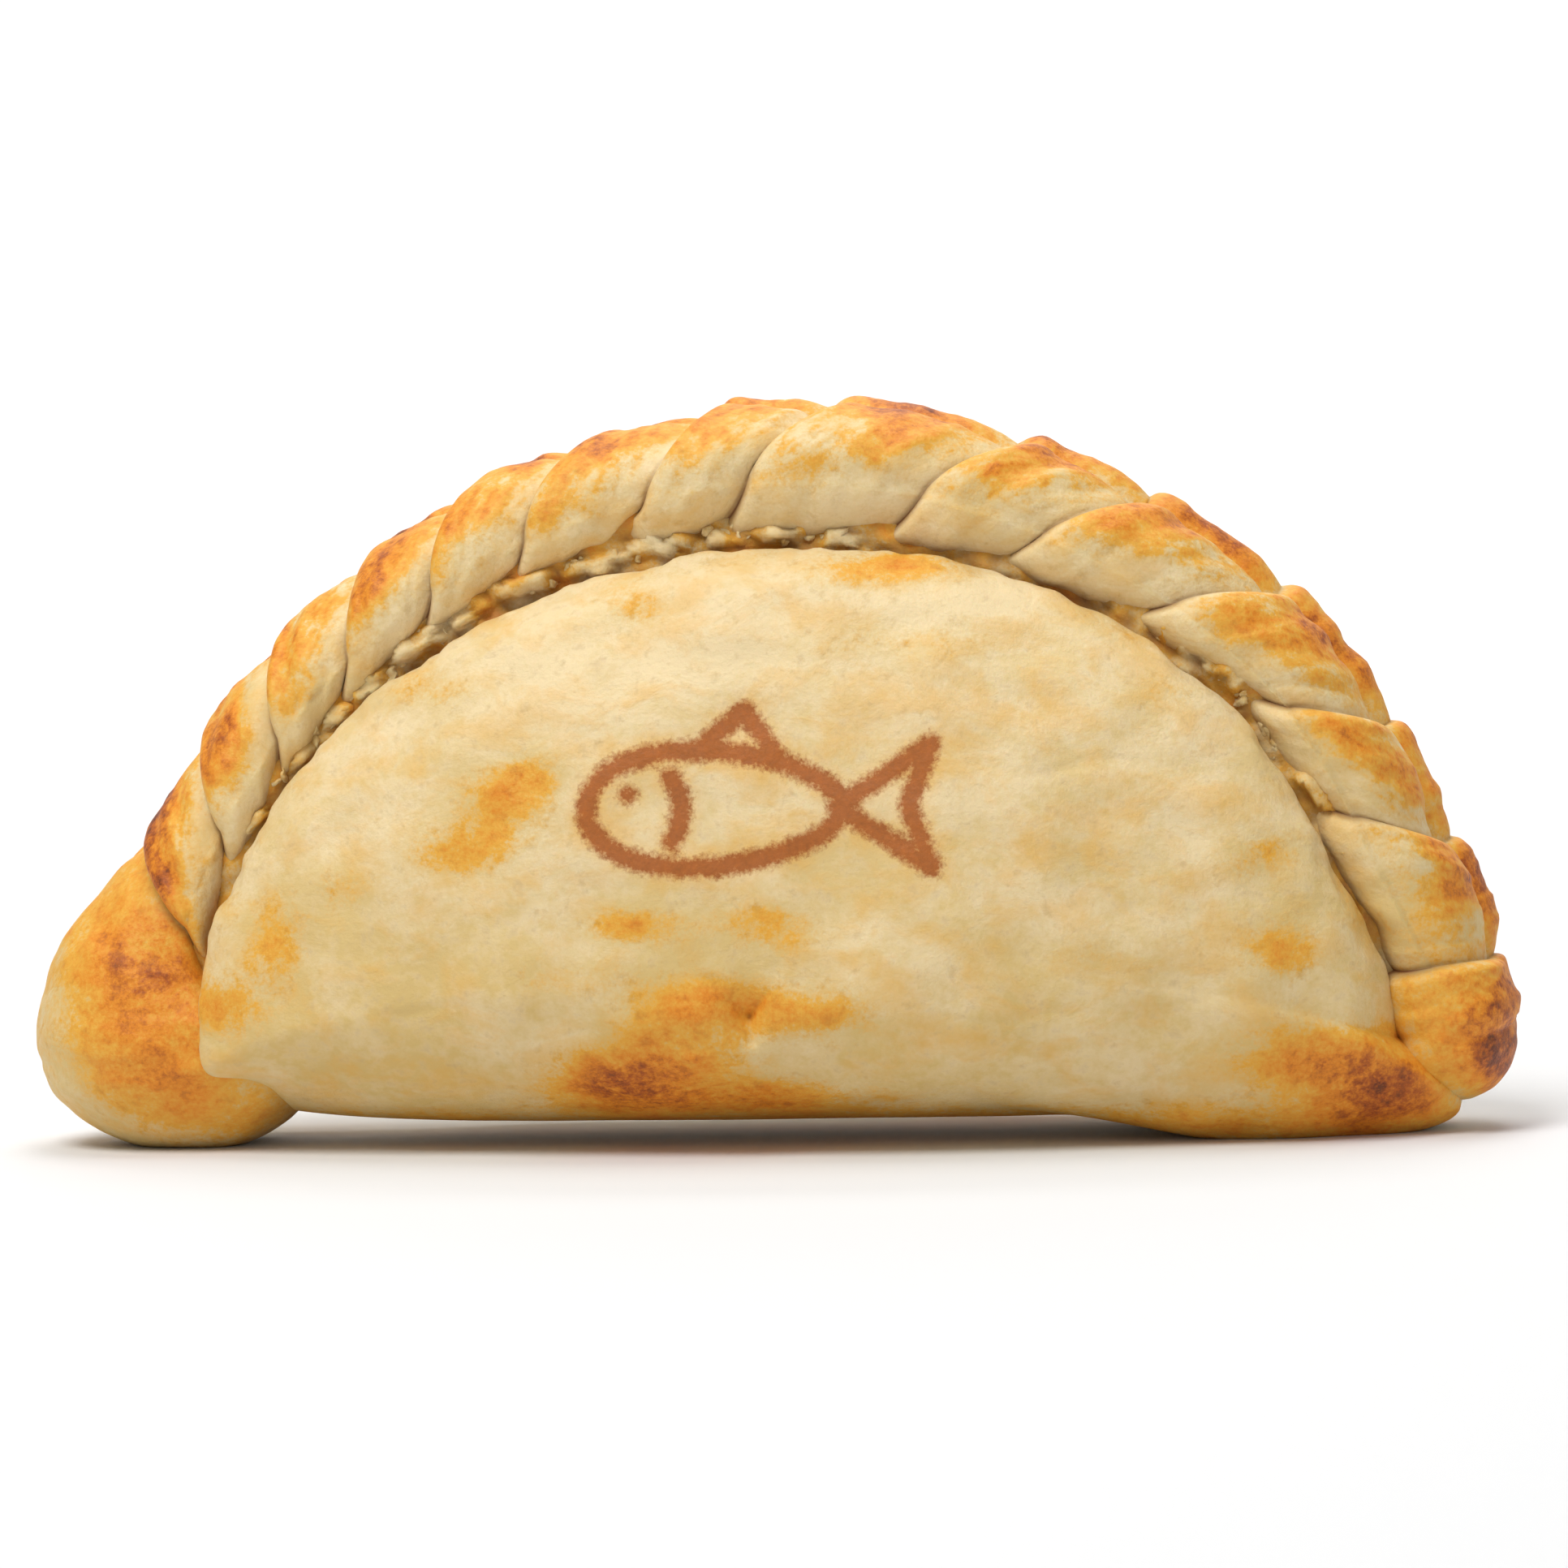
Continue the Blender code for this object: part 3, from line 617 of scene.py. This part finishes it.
def make_rope(sizes, pouch_sizes, material):
    path_x, path_z, lengths = rope_path()
    seam_x, seam_z = pouch_outline(pouch_sizes, np.linspace(0.0, math.pi, 181))
    to_seam = np.hypot(path_x[:, None] - seam_x, path_z[:, None] - seam_z).min(axis=1)
    total = lengths[-1]
    edges = np.concatenate(([0.0], np.cumsum(FOLD_WIDTHS)))
    starts = edges * total / edges[-1]
    folds = len(FOLD_WIDTHS)
    fold, share = [], []
    for i in range(folds):
        count = sizes.rows_per_fold + (30 if i in (0, folds - 1) else 0)
        # Rows crowd towards both ends of a fold, where the surface dives into the crease.
        even = np.arange(count) / count
        crowded = even - 0.09 * np.sin(2.0 * math.pi * even)
        fold.append(np.full(count, i))
        share.append(even if i in (0, folds - 1) else crowded)
    fold = np.concatenate(fold)[1:]
    share = np.concatenate(share)[1:]
    along = starts[fold] + (starts[fold + 1] - starts[fold]) * share
    turn = 2.0 * math.pi * np.arange(sizes.sides) / sizes.sides
    rows = len(along)
    fold, share, along = (np.repeat(v, sizes.sides) for v in (fold, share, along))
    turn = np.tile(turn, rows)

    from_end = total - along
    left = 1.0 - ease(along, 0.55 * LEFT_KNOB_LENGTH, 1.25 * LEFT_KNOB_LENGTH)
    right = 1.0 - ease(from_end, 0.6 * RIGHT_KNOB_LENGTH, 1.3 * RIGHT_KNOB_LENGTH)
    random = np.random.default_rng(7)
    plump = random.uniform(-0.25, 0.25, folds) * MM
    bent = random.uniform(-0.6, 0.6, folds)
    out = sizes.radius + (LEFT_KNOB_RADIUS - sizes.radius) * left + (RIGHT_KNOB_RADIUS - sizes.radius) * right
    deep = (sizes.half_depth + (LEFT_KNOB_DEPTH - sizes.half_depth) * left
            + (RIGHT_KNOB_DEPTH - sizes.half_depth) * right)
    cap = np.sqrt(1.0 - (1.0 - np.minimum(1.0, along / (0.6 * LEFT_KNOB_LENGTH))) ** 2)
    cap *= np.sqrt(1.0 - (1.0 - np.minimum(1.0, from_end / (0.5 * RIGHT_KNOB_LENGTH))) ** 2)
    swell = 1.0 - np.abs(2.0 * share ** 0.72 - 1.0) ** 3.6
    swell = np.where(fold == 0, np.maximum(swell, 1.0 - ease(share, 0.6, 1.0)), swell)
    swell = np.where(fold == folds - 1, np.maximum(swell, ease(share, 0.0, 0.35)), swell)
    lean = sizes.lean * ease(along, 0.4 * LEFT_KNOB_LENGTH, 1.2 * LEFT_KNOB_LENGTH) * ease(
        from_end, 0.3 * RIGHT_KNOB_LENGTH,
            2.2 * RIGHT_KNOB_LENGTH)

    inner = 0.5 - 0.5 * np.sin(turn)
    crease_and_shade = (sizes.crease_depth + 0.5 * MM * inner) * (1.0 - swell)
    tilt = sizes.overlap * (0.5 - share) * swell
    # The back edge of the dough stands beyond the folds, behind a groove along the crest.
    crest_turn = math.radians(98.0)
    groove = np.exp(-(((turn - crest_turn) / math.radians(6.0)) ** 2))
    lip = ease(turn, crest_turn, crest_turn + 0.4) * (1.0 - ease(turn, 2.6, 3.3))
    scallop = 0.88 + 0.12 * np.cos(2.0 * math.pi * (share + 0.15))
    rightward = ease(along / total, 0.35, 0.7)
    tilt += ((1.0 + 0.8 * rightward) * MM * lip * scallop - 1.0 * MM * groove) * (1.0 - left) * (1.0 - right)
    tilt -= 0.4 * MM * rightward * (1.0 - ease(turn, crest_turn - 0.1, crest_turn + 0.1)) * (1.0 - right)
    here = along + lean * (np.sin(turn) - 0.18 * np.sin(2.0 * turn) + 0.08 * bent[fold] * np.sin(3.0 * turn))
    here = np.clip(here, 0.02 * MM, total - 0.02 * MM)
    x = np.interp(here, lengths, path_x)
    z = np.interp(here, lengths, path_z)
    before = np.maximum(here - 1.0 * MM, 0.0)
    beyond = np.minimum(here + 1.0 * MM, total)
    run_x = np.interp(beyond, lengths, path_x) - np.interp(before, lengths, path_x)
    run_z = np.interp(beyond, lengths, path_z) - np.interp(before, lengths, path_z)
    run = np.hypot(run_x, run_z)

    # Fine creases run along each fold where the dough was stretched over the rim.
    lines = np.stack([along * 1.0, 0.0016 * turn, fold * 0.013], axis=-1)
    stretch = 0.07 * MM * ripple(lines, 0.8 * MM, 31) + 0.14 * MM * ripple(lines, 1.9 * MM, 32)
    pleat = random.uniform(0.70, 0.86, folds)[fold] + 0.02 * np.sin(1.1 * turn + fold)
    pleat = np.exp(-(((share - pleat) / 0.022) ** 2)) * ease(1.2
            - np.abs(turn - 2.0 * math.pi * (turn > math.pi)), 0.0, 0.5) * (1.0 - left) * (1.0 - right)
    square = 2.0 / (2.0 + 0.7 * inner)
    sine = np.sign(np.sin(turn)) * np.abs(np.sin(turn)) ** square
    cosine = np.sign(np.cos(turn)) * np.abs(np.cos(turn)) ** square
    height = -crease_and_shade + tilt + stretch * swell + plump[fold] * swell - 0.22 * MM * pleat * ease(
        random.uniform(0.0, 1.0, folds), 0.55, 1.0)[fold]
    # Towards the seam each fold ends short of it, by the width of the torn valley.
    notch = 1.6 * MM * np.exp(-(((along - starts[7]) / (1.3 * MM)) ** 2)) * ease(inner, 0.5, 0.85)
    tucked = np.clip((np.interp(here, lengths, to_seam) - seam_gap(along / total)) / 0.8, 1.2 * MM,
            sizes.radius)
    tucked += 0.25 * MM * ripple(np.stack([along, fold * 0.011, 0.0 * along], axis=-1), 2.6 * MM, 39) - notch
    free = (1.0 - left) * (1.0 - right)
    reach = np.where(sine < 0.0, (tucked - out - 0.5 * height) * free, 0.0)
    height = height - 0.6 * notch
    outward = cap * (out + reach + height) * sine
    forward = cap * (deep + height) * cosine
    points = np.stack([x - outward * run_z / run, -forward, z + outward * run_x / run], axis=-1)
    ends = np.array([[path_x[0], 0.0, path_z[0]], [path_x[-1], 0.0, path_z[-1]]])
    points = np.concatenate([ends[:1], points, ends[1:]]) + SETTLE
    pad = lambda values, a, b: np.concatenate([[a], values, [b]])
    fold, share, swell, turn, along = (pad(v, v[0], v[-1]) for v in (fold, share, swell, turn, along))
    outward_side = np.sin(turn)

    centre = np.stack([np.interp(along, lengths, path_x) + SETTLE[0], np.zeros_like(along),
            np.interp(along, lengths, path_z) + SETTLE[2]], axis=-1)
    away = points - centre
    away /= np.linalg.norm(away, axis=1)[:, None] + 1e-9
    lumps = 0.16 * MM * ripple(points, 5.0 * MM, 33) + 0.05 * MM * ripple(points, 1.8 * MM, 34)
    points = points + away * lumps[:, None]
    points[:, 2] = np.maximum(points[:, 2], 0.0)

    strength = random.uniform(0.32, 0.42, folds) + 0.08 * (np.arange(folds) < 6)
    patch = np.clip(0.86 + 0.36 * ripple(points, 5.5 * MM, 35) + 0.16 * ripple(points, 2.2 * MM, 36), 0.0,
            1.12)
    crest = (1.0 - pad(left, 1.0, 0.0)) * swell * ease(outward_side, -0.30, 0.70)
    leading = 1.0 - 0.72 * ease(share, 0.42, 0.95)
    leading = np.where((fold == 0) | (fold == folds - 1), 1.0, leading)
    fibres = np.stack([along, 0.004 * turn, fold * 0.013], axis=-1)
    streak = 0.085 * ripple(fibres, 0.55 * MM, 37) + 0.055 * ripple(fibres, 1.7 * MM, 38)
    toast = 0.15 + crest * (strength[fold.astype(int)] * patch * leading + streak)
    toast += 0.07 * ease(outward_side, 0.72, 1.0) + 0.12 * ease(turn, crest_turn,
            crest_turn + 0.2) * (1.0 - ease(turn, 2.4, 3.0))
    here = along / total
    for at, around, half, half_turn, amount in TOASTED_FOLDS:
        gap = np.degrees(np.angle(np.exp(1j * (turn - math.radians(around)))))
        toast += amount * np.exp(-(((here - at) / half) ** 2) - ((gap / half_turn) ** 2))
    # Painted shade: the dough is marked dark where each fold dives into its crease and along the inner side
    # that faces the seam.
    dip = np.clip(np.minimum(share, 1.0 - share) / 0.045, 0.0, 1.0)
    dip = np.where((fold == 0) & (share < 0.5) | (fold == folds - 1) & (share > 0.5), 1.0, dip)
    crease_and_shade = (1.0 - dip) ** 1.6 * (0.35 + 0.65 * ease(-outward_side, -0.9, 0.5))
    crease_and_shade += 0.55 * ease(-outward_side, 0.55, 0.9)
    attributes = {"toast": np.clip(toast, 0.0, 1.0), "crease_and_shade": np.clip(crease_and_shade, 0.0, 1.0)}
    return new_piece("rope_rim", points, capped_grid(rows, sizes.sides), attributes, material)


def crumb_tree(sizes, material):
    """Geometry nodes: small torn flakes scattered along a curve."""
    tree = bpy.data.node_groups.new("torn_flakes", "GeometryNodeTree")
    face = tree.interface
    face.new_socket("Geometry", in_out="INPUT", socket_type="NodeSocketGeometry")
    for name, kind, value in (("Count", "NodeSocketInt", sizes.count),
            ("Smallest", "NodeSocketFloat", sizes.smallest), ("Largest", "NodeSocketFloat",
            sizes.largest), ("Seed", "NodeSocketInt", sizes.seed)):
        socket = face.new_socket(name, in_out="INPUT", socket_type=kind)
        socket.default_value = value
    face.new_socket("Geometry", in_out="OUTPUT", socket_type="NodeSocketGeometry")
    given = add_node(tree, "NodeGroupInput", -1200, 0)
    result = add_node(tree, "NodeGroupOutput", 900, 0)
    link = tree.links.new

    spread = add_node(tree, "GeometryNodeDistributePointsOnFaces", -900, 0, distribute_method="RANDOM")
    spread.inputs["Density"].default_value = 0.0
    link(given.outputs["Geometry"], spread.inputs["Mesh"])
    area = add_node(tree, "GeometryNodeAttributeStatistic", -1100, -350, domain="FACE")
    face_area = add_node(tree, "GeometryNodeInputMeshFaceArea", -1300, -450)
    link(given.outputs["Geometry"], area.inputs["Geometry"])
    link(face_area.outputs["Area"], area.inputs["Attribute"])
    density = add_node(tree, "ShaderNodeMath", -950, -250, operation="DIVIDE")
    link(given.outputs["Count"], density.inputs[0])
    link(area.outputs["Sum"], density.inputs[1])
    link(density.outputs[0], spread.inputs["Density"])
    link(given.outputs["Seed"], spread.inputs["Seed"])

    flake = add_node(tree, "GeometryNodeMeshIcoSphere", -900, 300)
    flake.inputs["Radius"].default_value = 1.0
    flake.inputs["Subdivisions"].default_value = 3
    size = add_node(tree, "FunctionNodeRandomValue", -600, -300, data_type="FLOAT")
    link(given.outputs["Smallest"], size.inputs[2])
    link(given.outputs["Largest"], size.inputs[3])
    turn = add_node(tree, "FunctionNodeRandomValue", -600, -500, data_type="FLOAT_VECTOR")
    turn.inputs[1].default_value = (2.0 * math.pi,) * 3
    flat = add_node(tree, "FunctionNodeRandomValue", -600, -700, data_type="FLOAT_VECTOR")
    flat.inputs[0].default_value = (0.7, 0.6, 0.35)
    flat.inputs[1].default_value = (1.5, 1.1, 0.7)
    scale = add_node(tree, "ShaderNodeVectorMath", -400, -500, operation="SCALE")
    link(flat.outputs[0], scale.inputs[0])
    link(size.outputs[1], scale.inputs["Scale"])
    place = add_node(tree, "GeometryNodeInstanceOnPoints", -200, 0)
    link(spread.outputs["Points"], place.inputs["Points"])
    link(flake.outputs["Mesh"], place.inputs["Instance"])
    link(turn.outputs[0], place.inputs["Rotation"])
    link(scale.outputs[0], place.inputs["Scale"])
    real = add_node(tree, "GeometryNodeRealizeInstances", 0, 0)
    link(place.outputs["Instances"], real.inputs["Geometry"])

    # Each flake is crumpled by noise along its normal.
    where = add_node(tree, "GeometryNodeInputPosition", -200, -300)
    crumple = add_node(tree, "ShaderNodeTexNoise", 0, -300)
    crumple.inputs["Scale"].default_value = 1100.0
    crumple.inputs["Detail"].default_value = 2.0
    link(where.outputs[0], crumple.inputs["Vector"])
    centred = add_node(tree, "ShaderNodeVectorMath", 150, -300, operation="SUBTRACT")
    centred.inputs[1].default_value = (0.5, 0.5, 0.5)
    link(crumple.outputs["Color"], centred.inputs[0])
    scaled = add_node(tree, "ShaderNodeVectorMath", 300, -300, operation="SCALE")
    scaled.inputs["Scale"].default_value = 1.3 * MM
    link(centred.outputs[0], scaled.inputs[0])
    moved = add_node(tree, "GeometryNodeSetPosition", 400, 0)
    link(real.outputs["Geometry"], moved.inputs["Geometry"])
    link(scaled.outputs[0], moved.inputs["Offset"])
    dressed = add_node(tree, "GeometryNodeSetMaterial", 650, 0)
    dressed.inputs["Material"].default_value = material
    link(moved.outputs["Geometry"], dressed.inputs["Geometry"])
    link(dressed.outputs["Geometry"], result.inputs["Geometry"])
    return tree


def seam_strip(pouch_sizes):
    """Thin strips lying in the valley between the front of the pouch and the rope, where flakes are torn."""
    points, faces = [], []
    for first, last, low, high in ((1.50, 2.60, 0.6, 2.1), (0.60, 0.95, 0.5, 1.5)):
        start = len(points)
        angles = np.linspace(first, last, 60)
        edge_x, edge_z = pouch_outline(pouch_sizes, angles)
        for x, z, angle in zip(edge_x, edge_z, angles):
            for reach in (low, high):
                points.append((x + reach * MM * math.cos(angle), -7.4 * MM + 0.1 * MM * reach,
                        z + reach * MM * math.sin(angle)))
        for i in range(59):
            a = start + 2 * i
            faces.append((a, a + 1, a + 3, a + 2))
    mesh = bpy.data.meshes.new("torn_crumbs")
    mesh.from_pydata([tuple(np.array(p) + SETTLE) for p in points], [], faces)
    mesh.update()
    return mesh


def make_crumbs(sizes, pouch_sizes, material):
    piece = bpy.data.objects.new("torn_crumbs", seam_strip(pouch_sizes))
    bpy.context.collection.objects.link(piece)
    tree = crumb_tree(sizes, material)
    modifier = piece.modifiers.new("flakes", "NODES")
    modifier.node_group = tree
    values = {"Count": sizes.count, "Smallest": sizes.smallest, "Largest": sizes.largest, "Seed": sizes.seed}
    for item in tree.interface.items_tree:
        if item.in_out == "INPUT" and item.name in values:
            modifier[item.identifier] = values[item.name]
    bpy.context.view_layer.update()
    made = bpy.data.meshes.new_from_object(piece.evaluated_get(bpy.context.evaluated_depsgraph_get()))
    piece.modifiers.clear()
    piece.data = made
    if not made.polygons:
        raise RuntimeError("no crumbs were made")
    count = len(made.vertices)
    for label, value in (("toast", 0.20), ("crease_and_shade", 0.0)):
        layer = made.attributes.new(label, "FLOAT", "POINT")
        layer.data.foreach_set("value", np.full(count, value, dtype=np.float32))
    made.polygons.foreach_set("use_smooth", [True] * len(made.polygons))
    made.materials.clear()
    made.materials.append(material)
    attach(piece, "root")
    return piece


def plain_material(name, colour, roughness):
    material = bpy.data.materials.new(name)
    material.use_nodes = True
    shader = material.node_tree.nodes["Principled BSDF"]
    shader.inputs["Base Color"].default_value = colour
    shader.inputs["Roughness"].default_value = roughness
    return material


def add_lamp(name, at, aim, size, power):
    data = bpy.data.lights.new(name, "AREA")
    data.shape = "DISK"
    data.size = size
    data.energy = power
    lamp = bpy.data.objects.new(name, data)
    lamp.location = at
    lamp.rotation_euler = (Vector(aim) - Vector(at)).to_track_quat("-Z", "Y").to_euler()
    bpy.context.collection.objects.link(lamp)


def make_stage(settings):
    # A floor that sweeps up behind into a backdrop.
    profile = [(-3.0, 0.0), (0.9, 0.0)]
    profile += [(0.9 + 0.8 * math.sin(a), 0.8 - 0.8 * math.cos(a)) for a in np.linspace(0.1, 0.5 * math.pi,
            14)]
    profile += [(1.7, 4.0)]
    points = [(x, y, z) for y, z in profile for x in (-4.0, 4.0)]
    faces = [(2 * i, 2 * i + 1, 2 * i + 3, 2 * i + 2) for i in range(len(profile) - 1)]
    mesh = bpy.data.meshes.new("floor")
    mesh.from_pydata(points, [], faces)
    mesh.polygons.foreach_set("use_smooth", [True] * len(mesh.polygons))
    mesh.materials.append(plain_material("pale_floor", (0.76, 0.76, 0.76, 1.0), 0.9))
    floor = bpy.data.objects.new("floor", mesh)
    bpy.context.collection.objects.link(floor)

    world = bpy.data.worlds.new("studio")
    bpy.context.scene.world = world
    world.use_nodes = True
    world.node_tree.nodes["Background"].inputs["Color"].default_value = (1.0, 1.0, 1.0, 1.0)
    world.node_tree.nodes["Background"].inputs["Strength"].default_value = settings.sky
    middle = (0.0, 0.0, 0.03)
    add_lamp("key", (-0.30, -0.50, 0.95), middle, 0.55, settings.key_power)
    add_lamp("top", (0.03, 0.14, 1.05), middle, 0.6, settings.top_power)
    add_lamp("fill", (0.8, -0.9, 0.45), middle, 0.9, settings.fill_power)
    add_lamp("backdrop", (0.0, 0.85, 1.35), (0.0, 1.75, 0.45), 1.0, settings.backdrop_power)

    aim = Vector((2.0 * MM, -3.5 * MM, 31.1 * MM))
    back = Vector((math.sin(settings.azimuth) * math.cos(settings.elevation),
            -math.cos(settings.azimuth) * math.cos(settings.elevation), math.sin(settings.elevation)))
    right = Vector((math.cos(settings.azimuth), math.sin(settings.azimuth), 0.0))
    up = back.cross(right)
    rolled_right = right * math.cos(settings.roll) - up * math.sin(settings.roll)
    rolled_up = up * math.cos(settings.roll) + right * math.sin(settings.roll)
    data = bpy.data.cameras.new("camera")
    data.lens = settings.lens
    data.sensor_width = 36.0
    data.clip_start = 0.01
    camera = bpy.data.objects.new("camera", data)
    turned = Matrix((rolled_right, rolled_up, back)).transposed()
    camera.matrix_world = Matrix.Translation(aim + back * settings.distance) @ turned.to_4x4()
    bpy.context.collection.objects.link(camera)
    bpy.context.scene.camera = camera
    bpy.context.scene.view_settings.view_transform = "Standard"


class TURNOVER_OT_pouch(bpy.types.Operator):
    """Make the filled half-moon pouch."""

    bl_idname = "turnover.pouch"
    bl_label = "Make pouch"

    def execute(self, context):
        scene = context.scene
        piece = make_pouch(scene.turnover_pouch, baked_dough("pouch_dough", scene.turnover_colours, True))
        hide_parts(NODE)
        return {"FINISHED"}


class TURNOVER_OT_rope(bpy.types.Operator):
    """Make the rope-folded rim with its two end knobs."""

    bl_idname = "turnover.rope"
    bl_label = "Make rope rim"

    def execute(self, context):
        scene = context.scene
        make_rope(scene.turnover_rope, scene.turnover_pouch,
                baked_dough("rope_dough", scene.turnover_colours, False))
        return {"FINISHED"}


class TURNOVER_OT_crumbs(bpy.types.Operator):
    """Make the torn flakes along the seam."""

    bl_idname = "turnover.crumbs"
    bl_label = "Make crumbs"

    def execute(self, context):
        scene = context.scene
        make_crumbs(scene.turnover_crumbs, scene.turnover_pouch,
                baked_dough("crumb_dough", scene.turnover_colours, False))
        return {"FINISHED"}


class TURNOVER_OT_stage(bpy.types.Operator):
    """Make the floor, the lamps and the camera."""

    bl_idname = "turnover.stage"
    bl_label = "Make stage"

    def execute(self, context):
        make_stage(context.scene.turnover_stage)
        return {"FINISHED"}


class TURNOVER_PT_sidebar(bpy.types.Panel):
    """The turnover's pieces, in the order they are made."""

    bl_label = "Turnover"
    bl_idname = "TURNOVER_PT_sidebar"
    bl_space_type = "VIEW_3D"
    bl_region_type = "UI"
    bl_category = "Turnover"

    def draw(self, context):
        for name in OPERATORS:
            self.layout.operator(name)


OPERATORS = ("turnover.pouch", "turnover.rope", "turnover.crumbs", "turnover.stage")
GROUPS = {
    "turnover_pouch": PouchSizes,
    "turnover_rope": RopeSizes,
    "turnover_crumbs": CrumbSizes,
    "turnover_colours": DoughColours,
    "turnover_stage": StageSettings,
}
CLASSES = tuple(GROUPS.values()) + (TURNOVER_OT_pouch, TURNOVER_OT_rope, TURNOVER_OT_crumbs,
        TURNOVER_OT_stage, TURNOVER_PT_sidebar)


def register():
    for made in CLASSES:
        bpy.utils.register_class(made)
    for name, group in GROUPS.items():
        setattr(bpy.types.Scene, name, PointerProperty(type=group))


def unregister():
    for name in GROUPS:
        delattr(bpy.types.Scene, name)
    for made in reversed(CLASSES):
        bpy.utils.unregister_class(made)


def main():
    register()
    bpy.ops.turnover.pouch()
    bpy.ops.turnover.rope()
    bpy.ops.turnover.crumbs()
    bpy.ops.turnover.stage()


if __name__ == "__main__":
    main()
